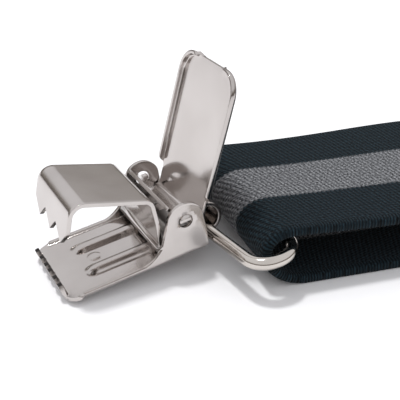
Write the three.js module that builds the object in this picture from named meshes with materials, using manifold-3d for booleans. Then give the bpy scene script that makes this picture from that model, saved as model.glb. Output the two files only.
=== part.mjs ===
// A pair of Y-back trouser suspenders: three sprung clips on wire loops, two front straps with
// adjusters, a back strap and a leather yoke, laid down with the spare webbing folded in stacks.
// Millimetres, +Z up. The straps run along X and the whole stands on z = 0.
import * as THREE from 'three';
import { mergeVertices } from 'three/addons/utils/BufferGeometryUtils.js';
import Module from 'manifold-3d';

const wasm = await Module();
wasm.setup();

// ---- driving dimensions ----
const gap = 0.3; // clearance kept between touching pieces

// webbing
const strapWidth = 36;
const strapThickness = 1.9;
const foldHeight = 12.9; // top of the fold round the wire loop
const foldApexHeight = 8.1; // height of the foremost point of the fold
const foldApexX = -6.3; // foremost point of the fold
const foldSkew = 7.1; // degrees, the fold follows the skewed wire loop
const foldSkewReach = 26; // the skew dies away over this length
const farEdgeLift = 1.9; // the upper layer's far edge rides up between the fold and the adjuster
const farEdgeLiftX = 44; // highest here
const layerGap = 0.45; // between the folded layers of the first front strap
const layerPitch = strapThickness + layerGap;
const turnRatio = 1.25; // a turn of the webbing bulges this much past a half circle
const stackStart = 108;
const stackEnd = 190;
const frontRuns = 7; // runs in the stack of the first front strap

// wire loop
const wireDiameter = 2.5;
const loopBarX = 0.3; // strap bar of the loop, inside the fold
const loopBarHeight = 7.6;
const loopDepth = 11.5; // from the strap bar to the clip bar
const loopClipHalf = 5; // half length of the straight clip bar
const loopShoulder = 8.9; // depth at which the shoulders meet the sides
const loopSideRoom = 0.85; // between the strap's edge and the side of the loop
const loopHalfWidth = strapWidth / 2 + wireDiameter / 2 + loopSideRoom;
const loopRoom = 0.5; // between the loops of neighbouring straps
const laneSpacing = 2 * loopHalfWidth + wireDiameter + loopRoom; // between the centre lines of the front straps
const loopCorner = 4;
const loopDip = 5.4; // degrees, from the strap bar down to the clip bar
const clipTilt = 8.4; // degrees, the clip leans down to its front edge

// clip base
const sheet = 0.8; // base and jaw sheet
const baseHalfWidth = 10.5;
const hingeToFront = 25.1;
const hingeToRear = 3.75;
const hingeHeight = 7.7;
const frontCorner = 2.2;
const lipHeight = 2.3;
const lipTeeth = 6;
const earRadius = 3.45;
const earFoot = 6.4;
const earHole = 1.45;
const ribLength = 9.8;
const ribX = 13.3;
const bossX = 16;
const ribHalf = 1.1;
const ribSpacing = 8.2;
const knuckleInner = 2.6;
const knuckleHalf = 4.5;
const knuckleX = -6.6;
const knuckleHeight = 2.2;
const wireInKnuckleX = -0.45; // where the wire lies from the knuckle's middle
const wireInKnuckleZ = -0.75;

// jaw
const jawHalfWidth = 8.9;
const jawPivotX = 5.2;
const jawPivotHeight = 2.9;
const jawBead = 1.1;
const jawLegX = 4.95;
const jawRearX = 5.6;
const jawRearHeight = 13.1;
const jawPanel = 14.9;
const jawAngle = 20.9;
const jawLip = 8.3;
const jawTeeth = 3;
const jawToothDepth = 2.7;
const jawToothSteep = 2.4; // width of the steep side of a tooth
const jawFrontBend = 2.5;
const jawSwing = 27; // from open to closed

// lever
const leverSheet = 0.7;
const leverAngle = 114.5; // open, above the front
const leverLength = 28.1;
const leverOffset = 4.5; // outer face behind the hinge axis
const leverFoot = 4.1; // from the hinge axis to the cam edge
const leverHeel = 1.9; // the heel reaches this far below the hinge axis
const leverFlange = 1.7;
const leverFlangeStart = 4;
const leverCorner = 4.6;
const leverHeelHalf = 9.3;
const lugWidth = 2.4;
const leverSwing = 109.5; // from open to closed

// leaf spring and its rivet
const leafThickness = 0.4;
const leafHalfWidth = 5.5;
const rivetX = -1.3;
const rivetShank = 0.75;
const rivetHead = 1.5;
const rivetHole = rivetShank + gap;

// adjuster
const leftAdjusterX = 72; // bar that the strap end is sewn round
const rightAdjusterX = 52;
const adjusterBar = 1.2;
const adjusterSheet = 0.8;
const adjusterRoom = 0.4; // over the strap end sewn round the bar
const adjusterFloor = 2 * (strapThickness + adjusterBar + gap) + adjusterSheet + adjusterRoom;
const adjusterLength = 24;
const camReach = 3; // from the cloth in the adjuster up to the cam's pin
const adjusterPivotHeight = adjusterFloor + strapThickness + camReach;
const adjusterPin = 0.8;

// leather yoke
const backLoopLength = 33; // the back strap's folded-back run
const backTurnNest = 0.29; // the back strap's turn tucks in beside the first front strap's stack
const yokeStart = 128;
const yokeEnd = 192;
const yokeLining = 1.2;
const yokeLeather = 1.5;
const yokeMargin = 4;
const endOverlap = 20; // strap ends held inside the yoke

const deg = Math.PI / 180;
const cos = (a) => Math.cos(a * deg);
const sin = (a) => Math.sin(a * deg);
const v2 = (x, y) => new THREE.Vector2(x, y);

// ---- materials ----
const nickel = (color) => new THREE.MeshStandardMaterial({ color, roughness: 0.22, metalness: 1 });
const nickelSheet = nickel(0xc4beba);
const nickelWire = nickel(0xcac3ba);
const springSteel = nickel(0xa39e98);
const webbingCloth = new THREE.MeshStandardMaterial({ color: 0x27313a, roughness: 0.95, metalness: 0 });
const leather = new THREE.MeshStandardMaterial({ color: 0x1d1a19, roughness: 0.6, metalness: 0 });

// ---- solids ----
function solid(geometry) {
  const bare = geometry.clone();
  bare.deleteAttribute('normal');
  bare.deleteAttribute('uv');
  const merged = mergeVertices(bare, 1e-4);
  const vertProperties = new Float32Array(merged.attributes.position.array);
  const triVerts = new Uint32Array(merged.index.array);
  return new wasm.Manifold(new wasm.Mesh({ numProp: 3, vertProperties, triVerts }));
}

function geometryOf(manifold) {
  const { vertProperties, triVerts, numProp } = manifold.getMesh();
  const positions = [];
  for (let i = 0; i < vertProperties.length; i += numProp) {
    positions.push(vertProperties[i], vertProperties[i + 1], vertProperties[i + 2]);
  }
  const geometry = new THREE.BufferGeometry();
  geometry.setAttribute('position', new THREE.Float32BufferAttribute(positions, 3));
  geometry.setIndex(Array.from(triVerts));
  geometry.computeVertexNormals();
  return geometry;
}

const join = (...parts) => parts.map(solid).reduce((a, b) => a.add(b));
const cut = (body, ...tools) => tools.map(solid).reduce((a, b) => a.subtract(b), body);

function piece(name, shape, material) {
  const geometry = shape.isBufferGeometry ? shape : geometryOf(shape);
  const mesh = new THREE.Mesh(geometry, material);
  mesh.name = name;
  return mesh;
}

// ---- outlines ----
// A chain of [x, y, radius] corners as points, with each corner rounded.
function rounded(corners, step = 18) {
  const points = [];
  corners.forEach(([x, y, radius], i) => {
    const here = v2(x, y);
    if (!radius || i === 0 || i === corners.length - 1) {
      points.push(here);
      return;
    }
    const back = v2(corners[i - 1][0], corners[i - 1][1]).sub(here).normalize();
    const ahead = v2(corners[i + 1][0], corners[i + 1][1]).sub(here).normalize();
    const half = Math.acos(THREE.MathUtils.clamp(back.dot(ahead), -1, 1)) / 2;
    const centre = here.clone().add(back.clone().add(ahead).setLength(radius / Math.sin(half)));
    const first = here.clone().addScaledVector(back, radius / Math.tan(half)).sub(centre);
    const turn = Math.sign(ahead.cross(back)) * (Math.PI - 2 * half);
    const steps = Math.max(2, Math.ceil(Math.abs(turn) / (step * deg)));
    for (let k = 0; k <= steps; k += 1) {
      points.push(first.clone().rotateAround(v2(0, 0), (turn * k) / steps).add(centre));
    }
  });
  return points;
}

// Points of an elliptical arc, angles in degrees.
function arc(cx, cy, rx, ry, from, to, steps) {
  return Array.from({ length: steps + 1 }, (_, k) => {
    const a = from + ((to - from) * k) / steps;
    return v2(cx + rx * cos(a), cy + ry * sin(a));
  });
}

// Extrudes an outline drawn in (forward, up) sideways, centred on y.
function across(shape, width, y = 0) {
  const geometry = new THREE.ExtrudeGeometry(shape, { depth: width, bevelEnabled: false, curveSegments: 8 });
  return geometry.rotateX(Math.PI / 2).translate(0, y + width / 2, 0);
}

// A sheet of even thickness bent along a centre line drawn in (forward, up).
function bentSheet(line, thickness, width) {
  const last = line.length - 1;
  const geometry = new THREE.BoxGeometry(last, width, thickness, last, 1, 1);
  const position = geometry.attributes.position;
  for (let i = 0; i < position.count; i += 1) {
    const k = Math.round(position.getX(i) + last / 2);
    const before = line[Math.max(k, 1)].clone().sub(line[Math.max(k - 1, 0)]).normalize();
    const after = line[Math.min(k + 1, last)].clone().sub(line[Math.min(k, last - 1)]).normalize();
    const tangent = before.clone().add(after).normalize();
    const reach = (Math.sign(position.getZ(i)) * thickness) / 2 / Math.max(tangent.dot(after), 0.5);
    position.setX(i, line[k].x - tangent.y * reach);
    position.setZ(i, line[k].y + tangent.x * reach);
  }
  return geometry;
}

// Extrudes a plan outline upwards from z.
function slab(shape, z, thickness) {
  const geometry = new THREE.ExtrudeGeometry(shape, { depth: thickness, bevelEnabled: false, curveSegments: 6 });
  return geometry.translate(0, 0, z);
}

// A round bar across the part.
function bar(x, z, radius, halfLength, y = 0, sides = 20) {
  return new THREE.CylinderGeometry(radius, radius, 2 * halfLength, sides).translate(x, y, z);
}

const box = (x0, x1, y0, y1, z0, z1) =>
  new THREE.BoxGeometry(x1 - x0, y1 - y0, z1 - z0).translate((x0 + x1) / 2, (y0 + y1) / 2, (z0 + z1) / 2);

// ---- clip: x forward to the teeth, z up, hinge above the origin ----
function makeBase() {
  const inner = baseHalfWidth - sheet;
  const plan = new THREE.Shape(rounded([
    [-hingeToRear, -baseHalfWidth, 0],
    [hingeToFront, -baseHalfWidth, frontCorner],
    [hingeToFront, baseHalfWidth, frontCorner],
    [-hingeToRear, baseHalfWidth, 0],
  ], 30));
  const frontEar = v2(earFoot, 0);
  const ear = new THREE.Shape([
    v2(-hingeToRear, 0),
    frontEar,
    ...arc(0, hingeHeight, earRadius + 0.4, earRadius, -8, 188, 12),
  ]);
  const lipHalf = baseHalfWidth - frontCorner;
  const lipLine = rounded([
    [hingeToFront - 3, sheet / 2, 0],
    [hingeToFront - 0.4, sheet / 2, 0.9],
    [hingeToFront + 0.4, lipHeight, 0],
  ]);
  const curlRadius = knuckleInner + sheet / 2;
  const tongue = [
    v2(-hingeToRear + 1, sheet / 2),
    v2(-hingeToRear, sheet / 2),
    ...arc(knuckleX, knuckleHeight, curlRadius, curlRadius, -60, -325, 16),
  ];
  const ribs = [-1, 1].map((side) => {
    const rib = new THREE.CapsuleGeometry(ribHalf, ribLength, 3, 10);
    return rib.rotateZ(Math.PI / 2).scale(1, 1, 0.6).translate(ribX, (side * ribSpacing) / 2, sheet);
  });
  const boss = new THREE.SphereGeometry(1.1, 10, 6).scale(1, 1, 0.55).translate(bossX, 0, sheet);
  const body = join(
    slab(plan, 0, sheet),
    across(ear, sheet, baseHalfWidth - sheet / 2),
    across(ear, sheet, -baseHalfWidth + sheet / 2),
    bentSheet(lipLine, sheet, 2 * lipHalf),
    bentSheet(tongue, sheet, 2 * knuckleHalf),
    boss,
    ...ribs,
  );
  const pitch = (2 * lipHalf) / lipTeeth;
  const notches = Array.from({ length: lipTeeth - 1 }, (_, i) => {
    const y = -lipHalf + pitch * (i + 1);
    return box(hingeToFront - 1.6, hingeToFront + 2, y - pitch * 0.22, y + pitch * 0.22, sheet + 0.5, lipHeight + 1);
  });
  const seat = 0.45;
  return cut(
    body,
    bar(0, hingeHeight, earHole, baseHalfWidth + 1, 0, 24),
    bar(jawPivotX, jawPivotHeight, 0.9, inner + seat, 0, 12),
    new THREE.CylinderGeometry(rivetHole, rivetHole, 4, 14).rotateX(Math.PI / 2).translate(rivetX, 0, 0),
    ...notches,
  );
}

function makeJaw() {
  const rear = v2(jawRearX, jawRearHeight);
  const front = rear.clone().add(v2(cos(jawAngle), sin(jawAngle)).multiplyScalar(jawPanel));
  const tip = front.clone().add(v2(sin(jawAngle), -cos(jawAngle)).multiplyScalar(jawLip));
  const line = rounded([
    [jawPivotX, jawPivotHeight, 0],
    [jawLegX, hingeHeight + 0.5, 6],
    [rear.x - 0.4, rear.y, 1.8],
    [front.x, front.y, jawFrontBend],
    [tip.x, tip.y, 0],
  ]);
  const pitch = (2 * jawHalfWidth) / jawTeeth;
  const zigzag = [v2(-jawToothDepth, jawHalfWidth + 1), v2(-jawToothDepth, jawHalfWidth)];
  for (let y = jawHalfWidth; y > -jawHalfWidth + 1; y -= pitch) {
    zigzag.push(v2(0, y - jawToothSteep), v2(-jawToothDepth, y - pitch));
  }
  zigzag.push(v2(-jawToothDepth, -jawHalfWidth - 1), v2(1, -jawHalfWidth - 1), v2(1, jawHalfWidth + 1));
  const teeth = new THREE.ExtrudeGeometry(new THREE.Shape(zigzag), { depth: 4, bevelEnabled: false });
  teeth.translate(0, 0, -2).rotateY((90 - jawAngle) * deg).translate(tip.x, 0, tip.y);
  const body = join(
    bentSheet(line, sheet, 2 * jawHalfWidth),
    bar(jawPivotX, jawPivotHeight, jawBead, jawHalfWidth),
    bar(jawPivotX, jawPivotHeight, 0.6, baseHalfWidth - sheet + 0.25, 0, 12),
  );
  return cut(body, teeth);
}

// The lever is drawn closed (panel along x) round its hinge, then turned to its rest angle.
function makeLever() {
  const outer = leverOffset;
  const inner = leverOffset - leverSheet;
  const footEnd = v2(leverHeel, leverSheet / 2 - outer).setLength(leverFoot);
  const bend = rounded([
    [leverLength - leverCorner, outer - leverSheet / 2, 0],
    [-leverHeel, outer - leverSheet / 2, 1.1],
    [footEnd.x, footEnd.y, 0],
  ]);
  const plan = (inset, tip) => new THREE.Shape(rounded([
    [leverFlangeStart, -baseHalfWidth + inset, 0],
    [leverLength - inset + tip, -baseHalfWidth + inset, leverCorner - inset],
    [leverLength - inset + tip, baseHalfWidth - inset, leverCorner - inset],
    [leverFlangeStart, baseHalfWidth - inset, 0],
  ], 22.5));
  const tray = join(
    bentSheet(bend, leverSheet, 2 * leverHeelHalf),
    slab(plan(0, 0), outer - leverFlange, leverFlange),
  );
  const lug = box(-leverSheet / 2, leverSheet / 2, -baseHalfWidth, baseHalfWidth, -lugWidth / 2, lugWidth / 2);
  lug.rotateY(Math.atan2(footEnd.x, -footEnd.y));
  const hollow = slab(plan(leverSheet, 0), outer - leverFlange - 1, leverFlange - leverSheet + 1);
  const mouth = box(leverLength - 2, leverLength + 1, -4.8, 4.8, inner - 3, inner);
  return cut(tray, hollow, mouth).add(solid(bentSheet(bend, leverSheet, 2 * leverHeelHalf))).add(solid(lug));
}

function makeLeaf() {
  const lift = sheet + gap + leafThickness / 2;
  const line = rounded([
    [-3.2, lift, 0],
    [0.9, lift, 2],
    [2.6, 2.5, 0.7],
    [3.5, 2.4, 0],
  ]);
  const hole = new THREE.CylinderGeometry(rivetHole, rivetHole, 4, 14).rotateX(Math.PI / 2);
  return cut(solid(bentSheet(line, leafThickness, 2 * leafHalfWidth)), hole.translate(rivetX, 0, lift));
}

function makeRivet() {
  const top = sheet + 2 * gap + leafThickness;
  const dome = arc(0, top, rivetHead, 0.8, 0, 90, 5);
  const profile = [v2(0, 0.1), v2(rivetShank, 0.1), v2(rivetShank, top), ...dome.slice(0, -1), v2(0, top + 0.8)];
  return new THREE.LatheGeometry(profile, 16).rotateX(Math.PI / 2).translate(rivetX, 0, 0);
}

// The wire loop lies level, strap bar on the origin, reaching forward (+x) to the clip bar.
function makeLoop() {
  const half = [
    [0, -0.2, 0],
    [0, -loopHalfWidth, loopCorner + 1],
    [loopShoulder, -loopHalfWidth, loopCorner],
    [loopDepth, -loopClipHalf, 6],
    [loopDepth, 0, 0],
  ];
  const near = rounded(half, 15);
  const far = near.slice(0, -1).reverse().map((p) => v2(p.x, -p.y));
  const path = new THREE.CurvePath();
  const points = [...near, ...far].map((p) => new THREE.Vector3(p.x, p.y, 0));
  points.slice(1).forEach((p, i) => path.add(new THREE.LineCurve3(points[i], p)));
  const curve = new THREE.CatmullRomCurve3(path.getSpacedPoints(60), false, 'centripetal');
  const section = new THREE.Shape(arc(0, 0, wireDiameter / 2, wireDiameter / 2, 0, 315, 7));
  return new THREE.ExtrudeGeometry(section, { steps: 60, extrudePath: curve, bevelEnabled: false });
}

// A clip on its loop. The group's origin is the strap bar of the loop, x forward to the teeth.
function makeClip(name, pose) {
  const loop = piece(`${name}_wire_loop`, makeLoop(), nickelWire);
  loop.rotation.y = loopDip * deg;
  const jaw = piece(`${name}_jaw`, makeJaw(), nickelSheet);
  const lever = piece(`${name}_lever`, makeLever(), nickelSheet);
  const jawPivot = new THREE.Group();
  jawPivot.position.set(jawPivotX, 0, jawPivotHeight);
  jawPivot.rotation.y = pose.closed ? jawSwing * deg : 0;
  jaw.position.set(-jawPivotX, 0, -jawPivotHeight);
  jawPivot.add(jaw);
  lever.position.set(0, 0, hingeHeight);
  lever.rotation.y = -(pose.closed ? leverAngle - leverSwing : leverAngle) * deg;
  const clip = new THREE.Group();
  clip.add(
    piece(`${name}_base`, makeBase(), nickelSheet),
    piece(`${name}_leaf_spring`, makeLeaf(), springSteel),
    piece(`${name}_spring_rivet`, makeRivet(), springSteel),
    jawPivot,
    lever,
  );
  const knuckle = new THREE.Group();
  clip.position.set(-knuckleX + wireInKnuckleX, 0, -knuckleHeight - wireInKnuckleZ);
  const turned = new THREE.Group();
  turned.rotation.set(0, clipTilt * deg, pose.yaw * deg, 'ZYX');
  turned.add(clip);
  knuckle.position.set(loopDepth * cos(loopDip), pose.slide, -loopDepth * sin(loopDip));
  knuckle.add(turned);
  const group = new THREE.Group();
  group.add(loop, knuckle);
  return group;
}

// ---- webbing ----
// The fold round the loop, from the lower layer to the upper one.
function foldLine() {
  const half = strapThickness / 2;
  const apex = foldApexX + half;
  const lower = arc(apex + 9, foldApexHeight, 9, foldApexHeight - half, 270, 180, 9);
  const upper = arc(apex + 5, foldApexHeight, 5, foldHeight - half - foldApexHeight, 180, 90, 8);
  return [...lower, ...upper.slice(1)];
}

// A half turn between two layers, bulging forward (side 1) or back (side -1).
const turnLine = (x, z0, z1, side) =>
  arc(x, (z0 + z1) / 2, ((z1 - z0) / 2) * turnRatio * side, (z1 - z0) / 2, -90, 90, 8);

// The runs of a stack as one line, level by level, first run towards +x.
function stackLine(levels, lastX) {
  return levels.flatMap((z, i) => {
    if (i === levels.length - 1) return [v2(lastX, z)];
    const side = i % 2 === 0 ? 1 : -1;
    return turnLine(side > 0 ? stackEnd - 3 : stackStart + 3, z, levels[i + 1], side);
  });
}

function frontStrapLine(levels, lastX, adjusterX) {
  const half = strapThickness / 2;
  const wrap = adjusterBar + gap + half;
  const barZ = half + wrap;
  const tail = half + strapThickness + gap;
  const over = adjusterFloor + gap + half;
  return [
    v2(adjusterX - 27, tail),
    v2(adjusterX - 9, tail),
    v2(adjusterX - 6, tail + 0.7),
    v2(adjusterX - 3, barZ + wrap - 0.5),
    ...arc(adjusterX, barZ, wrap, wrap, 90, -90, 8),
    ...foldLine(),
    v2(adjusterX - 48, foldHeight - half - 0.9),
    v2(adjusterX - 38, foldHeight - half - 1.2),
    v2(adjusterX - 28, foldHeight - half - 1.5),
    v2(adjusterX - 21, foldHeight - half - 1.8),
    v2(adjusterX - 14, over + 0.2),
    v2(adjusterX - 10, over),
    v2(adjusterX + 12, over),
    v2(adjusterX + 17, over - 1),
    v2(adjusterX + 25, half + 2.4),
    v2(adjusterX + 30, half + 0.5),
    v2(adjusterX + 36, half),
    ...stackLine(levels, lastX),
  ];
}

const ease = (k) => {
  const part = THREE.MathUtils.clamp(k, 0, 1);
  return part * part * (3 - 2 * part);
};

// Shears the fold so that it follows the skewed loop, and lifts the far edge of the upper layer.
function settleFold(geometry, skew, lift, adjusterX) {
  const position = geometry.attributes.position;
  const adjusterStart = adjusterX - adjusterLength / 2;
  for (let i = 0; i < position.count; i += 1) {
    const x = position.getX(i);
    const y = position.getY(i);
    const z = position.getZ(i);
    const upper = x < adjusterStart && z > foldApexHeight;
    const bump = upper ? ease((x - 4) / (farEdgeLiftX - 4)) * ease((adjusterStart - 2 - x) / 13) : 0;
    position.setZ(i, z + lift * bump * (y / strapWidth + 0.5));
    position.setX(i, x - y * Math.tan(skew * deg) * ease(1 - (x - foldApexX) / foldSkewReach));
  }
  return geometry;
}

const lastLevel = strapThickness / 2 + (frontRuns - 2) * layerPitch + strapThickness + yokeLining + 3 * gap;

function makeFrontStrap(name, { runs, lastX, skew, lift, adjusterX }) {
  const half = strapThickness / 2;
  const pitch = ((frontRuns - 2) * layerPitch) / (runs - 2);
  const levels = Array.from({ length: runs }, (_, i) => (i === runs - 1 ? lastLevel : half + i * pitch));
  const strip = bentSheet(frontStrapLine(levels, lastX, adjusterX), strapThickness, strapWidth);
  return piece(name, settleFold(strip, skew, lift, adjusterX), webbingCloth);
}

function makeBackStrap(name, length, drift) {
  const half = strapThickness / 2;
  const middle = (half + lastLevel) / 2;
  const stackReach = stackEnd - 3 + (turnRatio * layerPitch) / 2 + half;
  const farX = 2 * middleX - stackReach - (turnRatio * (middle - half)) / 2 - half + backTurnNest;
  const nearX = farX - backLoopLength;
  const line = [
    v2(44, half + strapThickness + gap),
    v2(27, half + strapThickness + gap),
    v2(21, half + strapThickness + 1.2),
    v2(11, foldHeight - half - 2.4),
    ...foldLine().reverse(),
    ...turnLine(farX, half, middle, 1),
    ...turnLine(nearX, middle, lastLevel, -1),
    ...[0, 0.25, 0.5, 0.75, 1].map((k) => v2(nearX + 4 + k * (farX - nearX), lastLevel)),
    v2(length, lastLevel),
  ];
  const strip = bentSheet(line, strapThickness, strapWidth);
  const position = strip.attributes.position;
  for (let i = 0; i < position.count; i += 1) {
    const along = THREE.MathUtils.clamp((position.getX(i) - nearX) / (farX - nearX), 0, 1);
    if (position.getZ(i) > lastLevel - half - 0.01) {
      position.setY(i, position.getY(i) + drift * along * along * (3 - 2 * along));
    }
  }
  return piece(name, strip, webbingCloth);
}

// ---- adjuster: along the strap, bar at adjusterX ----
function makeAdjuster(name, adjusterX) {
  const half = strapThickness / 2;
  const barZ = half + adjusterBar + gap + half;
  const inner = strapWidth / 2 + gap;
  const outer = inner + adjusterSheet;
  const start = adjusterX - adjusterLength / 2;
  const end = adjusterX + adjusterLength / 2;
  const cheek = new THREE.Shape(rounded([
    [adjusterX, barZ - 2, 0],
    [adjusterX + 3, barZ - 2, 2],
    [end, adjusterFloor - 1.2, 2],
    [end, adjusterFloor + 2, 1.2],
    [adjusterX, adjusterPivotHeight + 1.8, 3],
    [start, adjusterPivotHeight + 1.8, 2.6],
    [start, adjusterFloor - 1.2, 1.5],
    [adjusterX - 3, barZ - 2, 2],
    [adjusterX, barZ - 2, 0],
  ]).slice(0, -1));
  const floorTop = adjusterFloor;
  const pivotX = start + 4;
  const frame = cut(
    join(
      across(cheek, adjusterSheet, outer - adjusterSheet / 2),
      across(cheek, adjusterSheet, -outer + adjusterSheet / 2),
      box(start + 1, end - 1, -outer + 0.1, outer - 0.1, floorTop - adjusterSheet, floorTop),
      bar(adjusterX, barZ, adjusterBar, outer - 0.1, 0, 14),
    ),
    bar(pivotX, adjusterPivotHeight, adjusterPin + gap, outer + 1, 0, 14),
  );
  const cloth = floorTop + 2 * gap + strapThickness;
  const flap = rounded([
    [pivotX - 1.6, adjusterPivotHeight - 0.4, 0],
    [pivotX - 1.5, adjusterPivotHeight + 1.5, 1],
    [pivotX + 1.5, adjusterPivotHeight + 1.5, 2],
    [end - 3, cloth + 1.1, 3],
    [end + 2, cloth + 1.6, 0],
  ]);
  const flapHalf = inner - gap;
  const jag = new THREE.Shape([
    v2(pivotX - 0.7, cloth + gap),
    v2(pivotX + 0.5, cloth + gap),
    v2(pivotX + 1.4, adjusterPivotHeight + 1.4),
    v2(pivotX - 1.9, adjusterPivotHeight + 0.6),
  ]);
  const lever = cut(
    join(bentSheet(flap, adjusterSheet, 2 * flapHalf), across(jag, 2 * flapHalf)),
    bar(pivotX, adjusterPivotHeight, adjusterPin + 0.2, outer + 1, 0, 14),
    ...Array.from({ length: 8 }, (_, i) => {
      const y = -flapHalf + ((i + 0.75) * 2 * flapHalf) / 8;
      return box(pivotX - 3, pivotX + 1, y, y + flapHalf / 8, cloth, cloth + 1.1);
    }),
  );
  const pin = bar(pivotX, adjusterPivotHeight, adjusterPin, outer + 0.5, 0, 14);
  return [
    piece(`${name}_frame`, frame, nickelSheet),
    piece(`${name}_cam_lever`, lever, nickelSheet),
    piece(`${name}_pin`, pin, springSteel),
  ];
}

// ---- leather yoke: wide end over the front straps, narrow end on the back strap ----
function makeYoke(z, thickness, inset) {
  const wide = (laneSpacing + strapWidth) / 2 + yokeMargin - inset;
  const narrow = strapWidth / 2 + yokeMargin - inset;
  const start = yokeStart + inset;
  const end = yokeEnd - inset;
  const middle = laneSpacing / 2;
  const outline = rounded([
    [start, middle, 0],
    [start, middle - wide, 6],
    [start + 22, middle - wide, 14],
    [end - 16, middle - narrow, 14],
    [end, middle - narrow, 5],
    [end, middle + narrow, 5],
    [end - 16, middle + narrow, 14],
    [start + 22, middle + wide, 14],
    [start, middle + wide, 6],
    [start, middle, 0],
  ]).slice(0, -1);
  return slab(new THREE.Shape(outline), z, thickness);
}

// ---- assembly ----
const suspenders = new THREE.Group();
const half = strapThickness / 2;
const middleX = (stackStart + stackEnd) / 2;
const lastFrontX = yokeStart + endOverlap;

const heroPose = { closed: false, yaw: 4.7, roll: 2.7, slide: -3.6, side: 0.4 };
const restPose = { closed: true, yaw: 0, roll: 0, slide: 0, side: 0 };

function placeClip(parent, name, pose, skew) {
  const clip = makeClip(name, pose);
  clip.position.set(loopBarX, pose.side, loopBarHeight);
  clip.rotation.set(pose.roll * deg, 0, (180 + skew) * deg, 'ZYX');
  parent.add(clip);
}

const left = new THREE.Group();
placeClip(left, 'left_clip', heroPose, foldSkew);
left.add(makeFrontStrap('left_front_strap', {
  runs: frontRuns,
  lastX: lastFrontX,
  skew: foldSkew,
  lift: farEdgeLift,
  adjusterX: leftAdjusterX,
}));
left.add(...makeAdjuster('left_adjuster', leftAdjusterX));

const right = new THREE.Group();
right.position.set(2 * middleX, laneSpacing, 0);
right.rotation.z = Math.PI;
placeClip(right, 'right_clip', restPose, 0);
right.add(makeFrontStrap('right_front_strap', {
  runs: frontRuns - 1,
  lastX: 2 * middleX - lastFrontX,
  skew: 0,
  lift: 0,
  adjusterX: rightAdjusterX,
}));
right.add(...makeAdjuster('right_adjuster', rightAdjusterX));

const back = new THREE.Group();
back.position.set(2 * middleX, 0, 0);
back.rotation.z = Math.PI;
placeClip(back, 'back_clip', restPose, 0);
back.add(makeBackStrap('back_strap', 2 * middleX - (yokeEnd - endOverlap), -laneSpacing / 2));

const liningTop = lastLevel - half - gap;
suspenders.add(
  left,
  right,
  back,
  piece('yoke_lining', makeYoke(liningTop - yokeLining, yokeLining, 1), leather),
  piece('yoke_leather', makeYoke(lastLevel + half + gap, yokeLeather, 0), leather),
);

// The origin is the middle of the underside.
const bounds = new THREE.Box3().setFromObject(suspenders, true);
suspenders.position.set(
  -(bounds.min.x + bounds.max.x) / 2,
  -(bounds.min.y + bounds.max.y) / 2,
  -bounds.min.z,
);

export default suspenders;
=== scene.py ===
"""Clip-on suspenders, laid down with the left clip open: webbing, leather yoke and nickel-plated fittings.

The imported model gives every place. Lengths here are millimetres, and MM turns them into metres.
"""
import math

import bmesh
import bpy
from mathutils import Matrix, Vector


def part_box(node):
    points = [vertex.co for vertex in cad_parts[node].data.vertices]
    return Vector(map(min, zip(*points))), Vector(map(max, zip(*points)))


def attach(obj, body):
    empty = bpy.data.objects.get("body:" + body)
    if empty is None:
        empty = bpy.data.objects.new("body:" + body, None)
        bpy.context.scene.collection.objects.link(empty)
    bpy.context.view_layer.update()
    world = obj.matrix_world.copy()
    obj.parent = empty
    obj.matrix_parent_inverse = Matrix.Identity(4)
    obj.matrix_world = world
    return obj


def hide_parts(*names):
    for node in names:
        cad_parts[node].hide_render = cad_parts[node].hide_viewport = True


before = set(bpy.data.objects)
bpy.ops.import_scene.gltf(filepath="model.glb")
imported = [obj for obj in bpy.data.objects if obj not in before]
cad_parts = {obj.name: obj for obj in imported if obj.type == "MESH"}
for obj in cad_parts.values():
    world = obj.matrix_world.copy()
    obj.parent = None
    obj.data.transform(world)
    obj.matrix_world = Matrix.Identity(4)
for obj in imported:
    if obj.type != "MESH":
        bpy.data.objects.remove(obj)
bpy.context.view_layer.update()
MM = 0.001

# ---- webbing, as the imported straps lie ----
STRAP_WIDTH = 36.0
STRAP_THICKNESS = 1.9
FOLD_HEIGHT = 12.9
FOLD_APEX_HEIGHT = 8.1
FOLD_APEX_X = -6.3
FOLD_SKEW = 7.1
FOLD_SKEW_REACH = 26.0
FAR_EDGE_LIFT = 1.9
FAR_EDGE_LIFT_X = 44.0
LAYER_PITCH = 2.35
STACK_START = 108.0
STACK_END = 190.0
FRONT_RUNS = 7
LANE_SPACING = 43.2
LEFT_ADJUSTER_X = 72.0
RIGHT_ADJUSTER_X = 52.0
BACK_NEAR_X = 70.0
BACK_FAR_X = 103.0
ADJUSTER_BAR = 1.2
ADJUSTER_FLOOR = 8.0
ADJUSTER_LENGTH = 24.0
GAP = 0.3
YOKE_START = 128.0
YOKE_END = 192.0
YOKE_LINING = 1.2
END_OVERLAP = 20.0
STATION = 1.0  # spacing of the sections along a strap
STRIPE_HALF = 6.0  # half width of the grey centre stripe
SELVEDGE = 1.5

HALF = STRAP_THICKNESS / 2
MIDDLE_X = (STACK_START + STACK_END) / 2
LAST_LEVEL = HALF + (FRONT_RUNS - 2) * LAYER_PITCH + STRAP_THICKNESS + YOKE_LINING + 3 * GAP


def smooth(k):
    k = min(max(k, 0.0), 1.0)
    return k * k * (3 - 2 * k)


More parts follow.
